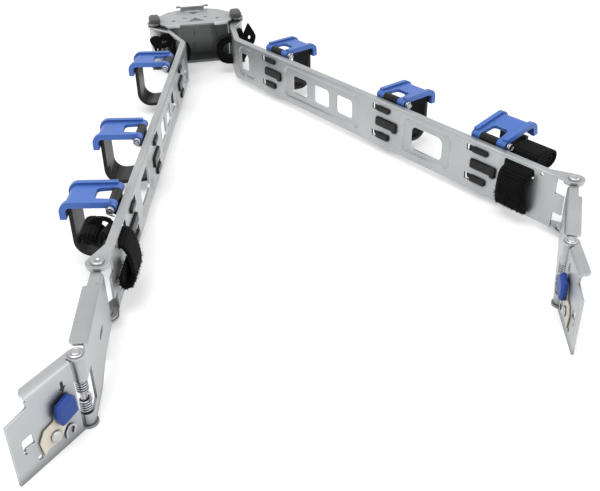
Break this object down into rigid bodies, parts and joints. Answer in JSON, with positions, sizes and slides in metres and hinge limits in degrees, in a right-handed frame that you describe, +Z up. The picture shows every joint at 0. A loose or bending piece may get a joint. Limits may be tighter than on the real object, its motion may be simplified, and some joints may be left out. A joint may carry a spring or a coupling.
{
  "type": "cable management arm",
  "caption": "Folding sheet-steel cable management arm for a rack server: hinged arms with lidded cable clips, straps, and sprung latch plates at the free ends.",
  "frame": {"origin": "on the underside of the elbow's floor plate, on the middle line between the two elbow pivots", "axes": "+Z up, along the hinge pins; the arms open towards -Y; the right arm is on the +X side"},
  "size_m": [0.3073, 0.4976, 0.0474],
  "materials": {
    "zinc_steel": "zinc plated",
    "rivet_steel": "satin",
    "spring_steel": "drawn wire",
    "leaf_brass": "satin",
    "blue_plastic": "moulded",
    "black_plastic": "moulded",
    "grey_plastic": "moulded",
    "white_nylon": "turned",
    "black_webbing": "hook and loop"
  },
  "bodies": {
    "elbow": {"elbow_frame": "zinc_steel", "elbow_pivot_pins": "zinc_steel", "elbow_washers": "black_plastic", "elbow_sleeves": "white_nylon", "elbow_bumpers": "grey_plastic"},
    "left_arm": {"left_arm_panel": "zinc_steel", "left_clip_base_1": "black_plastic", "left_clip_base_2": "black_plastic", "left_clip_base_3": "black_plastic", "left_lid_pins": "spring_steel", "left_lid_springs": "spring_steel", "left_wide_strap": "black_webbing", "left_tie_strap": "black_webbing", "left_link_rivets": "rivet_steel"},
    "left_lid_1": {"left_clip_lid_1": "blue_plastic"},
    "left_lid_2": {"left_clip_lid_2": "blue_plastic"},
    "left_lid_3": {"left_clip_lid_3": "blue_plastic"},
    "left_link": {"left_link": "zinc_steel", "left_hinge_spring": "spring_steel"},
    "left_plate": {"left_end_plate": "zinc_steel", "left_hinge_pin": "rivet_steel", "left_latch_rivet": "rivet_steel", "left_latch_spring": "spring_steel"},
    "left_latch": {"left_latch_lever": "leaf_brass", "left_latch_button": "blue_plastic"},
    "right_arm": {"right_arm_panel": "zinc_steel", "right_clip_base_1": "black_plastic", "right_clip_base_2": "black_plastic", "right_clip_base_3": "black_plastic", "right_lid_pins": "spring_steel", "right_lid_springs": "spring_steel", "right_wide_strap": "black_webbing", "right_tie_strap": "black_webbing", "right_link_rivets": "rivet_steel"},
    "right_lid_1": {"right_clip_lid_1": "blue_plastic"},
    "right_lid_2": {"right_clip_lid_2": "blue_plastic"},
    "right_lid_3": {"right_clip_lid_3": "blue_plastic"},
    "right_link": {"right_link": "zinc_steel", "right_hinge_spring": "spring_steel"},
    "right_plate": {"right_end_plate": "zinc_steel", "right_hinge_pin": "rivet_steel", "right_latch_rivet": "rivet_steel", "right_latch_spring": "spring_steel"},
    "right_latch": {"right_latch_lever": "leaf_brass", "right_latch_button": "blue_plastic"}
  },
  "joints": [
    {"name": "left_arm_swing", "type": "hinge", "parent": "elbow", "child": "left_arm", "pos_m": [-0.0352, -0.014, 0], "axis": [0, 0, -1], "range_deg": [-10.2, 73.3]},
    {"name": "left_lid_1_hinge", "type": "hinge", "parent": "left_arm", "child": "left_lid_1", "pos_m": [-0.03105, -0.10983, 0.0386], "axis": [0.2028, 0.9792, 0], "range_deg": [0, 95], "stiffness_Nm_per_rad": 0.004, "springref_deg": -22.92},
    {"name": "left_lid_2_hinge", "type": "hinge", "parent": "left_arm", "child": "left_lid_2", "pos_m": [-0.05711, -0.23566, 0.0386], "axis": [0.2028, 0.9792, 0], "range_deg": [0, 95], "stiffness_Nm_per_rad": 0.004, "springref_deg": -22.92},
    {"name": "left_lid_3_hinge", "type": "hinge", "parent": "left_arm", "child": "left_lid_3", "pos_m": [-0.07444, -0.31939, 0.0386], "axis": [0.2028, 0.9792, 0], "range_deg": [0, 95], "stiffness_Nm_per_rad": 0.004, "springref_deg": -22.92},
    {"name": "left_link_swing", "type": "hinge", "parent": "left_arm", "child": "left_link", "pos_m": [-0.08409, -0.38173, 0], "axis": [0, 0, 1], "range_deg": [-14.3, 90.7]},
    {"name": "left_plate_hinge", "type": "hinge", "parent": "left_link", "child": "left_plate", "pos_m": [-0.09293, -0.44985, 0], "axis": [0, 0, -1], "range_deg": [-35.3, 59.7], "stiffness_Nm_per_rad": 0.02},
    {"name": "left_latch_press", "type": "hinge", "parent": "left_plate", "child": "left_latch", "pos_m": [-0.10525, -0.46556, 0.0105], "axis": [0.7349, -0.6782, 0], "range_deg": [0, 12], "stiffness_Nm_per_rad": 0.05, "springref_deg": -2.86},
    {"name": "right_arm_swing", "type": "hinge", "parent": "elbow", "child": "right_arm", "pos_m": [0.0352, -0.014, 0], "axis": [0, 0, 1], "range_deg": [-25, 58.5]},
    {"name": "right_lid_1_hinge", "type": "hinge", "parent": "right_arm", "child": "right_lid_1", "pos_m": [0.05567, -0.10771, 0.0386], "axis": [0.4462, -0.8949, 0], "range_deg": [0, 95], "stiffness_Nm_per_rad": 0.004, "springref_deg": -22.92},
    {"name": "right_lid_2_hinge", "type": "hinge", "parent": "right_arm", "child": "right_lid_2", "pos_m": [0.113, -0.22271, 0.0386], "axis": [0.4462, -0.8949, 0], "range_deg": [0, 95], "stiffness_Nm_per_rad": 0.004, "springref_deg": -22.92},
    {"name": "right_lid_3_hinge", "type": "hinge", "parent": "right_arm", "child": "right_lid_3", "pos_m": [0.15115, -0.29923, 0.0386], "axis": [0.4462, -0.8949, 0], "range_deg": [0, 83], "stiffness_Nm_per_rad": 0.004, "springref_deg": -22.92},
    {"name": "right_link_swing", "type": "hinge", "parent": "right_arm", "child": "right_link", "pos_m": [0.1764, -0.35704, 0], "axis": [0, 0, -1], "range_deg": [-65.5, 39.5]},
    {"name": "right_plate_hinge", "type": "hinge", "parent": "right_link", "child": "right_plate", "pos_m": [0.14309, -0.41713, 0], "axis": [0, 0, 1], "range_deg": [-11.9, 83.1], "stiffness_Nm_per_rad": 0.02},
    {"name": "right_latch_press", "type": "hinge", "parent": "right_plate", "child": "right_latch", "pos_m": [0.13571, -0.43568, 0.0105], "axis": [0.9558, -0.294, 0], "range_deg": [0, 12], "stiffness_Nm_per_rad": 0.05, "springref_deg": -2.86}
  ]
}
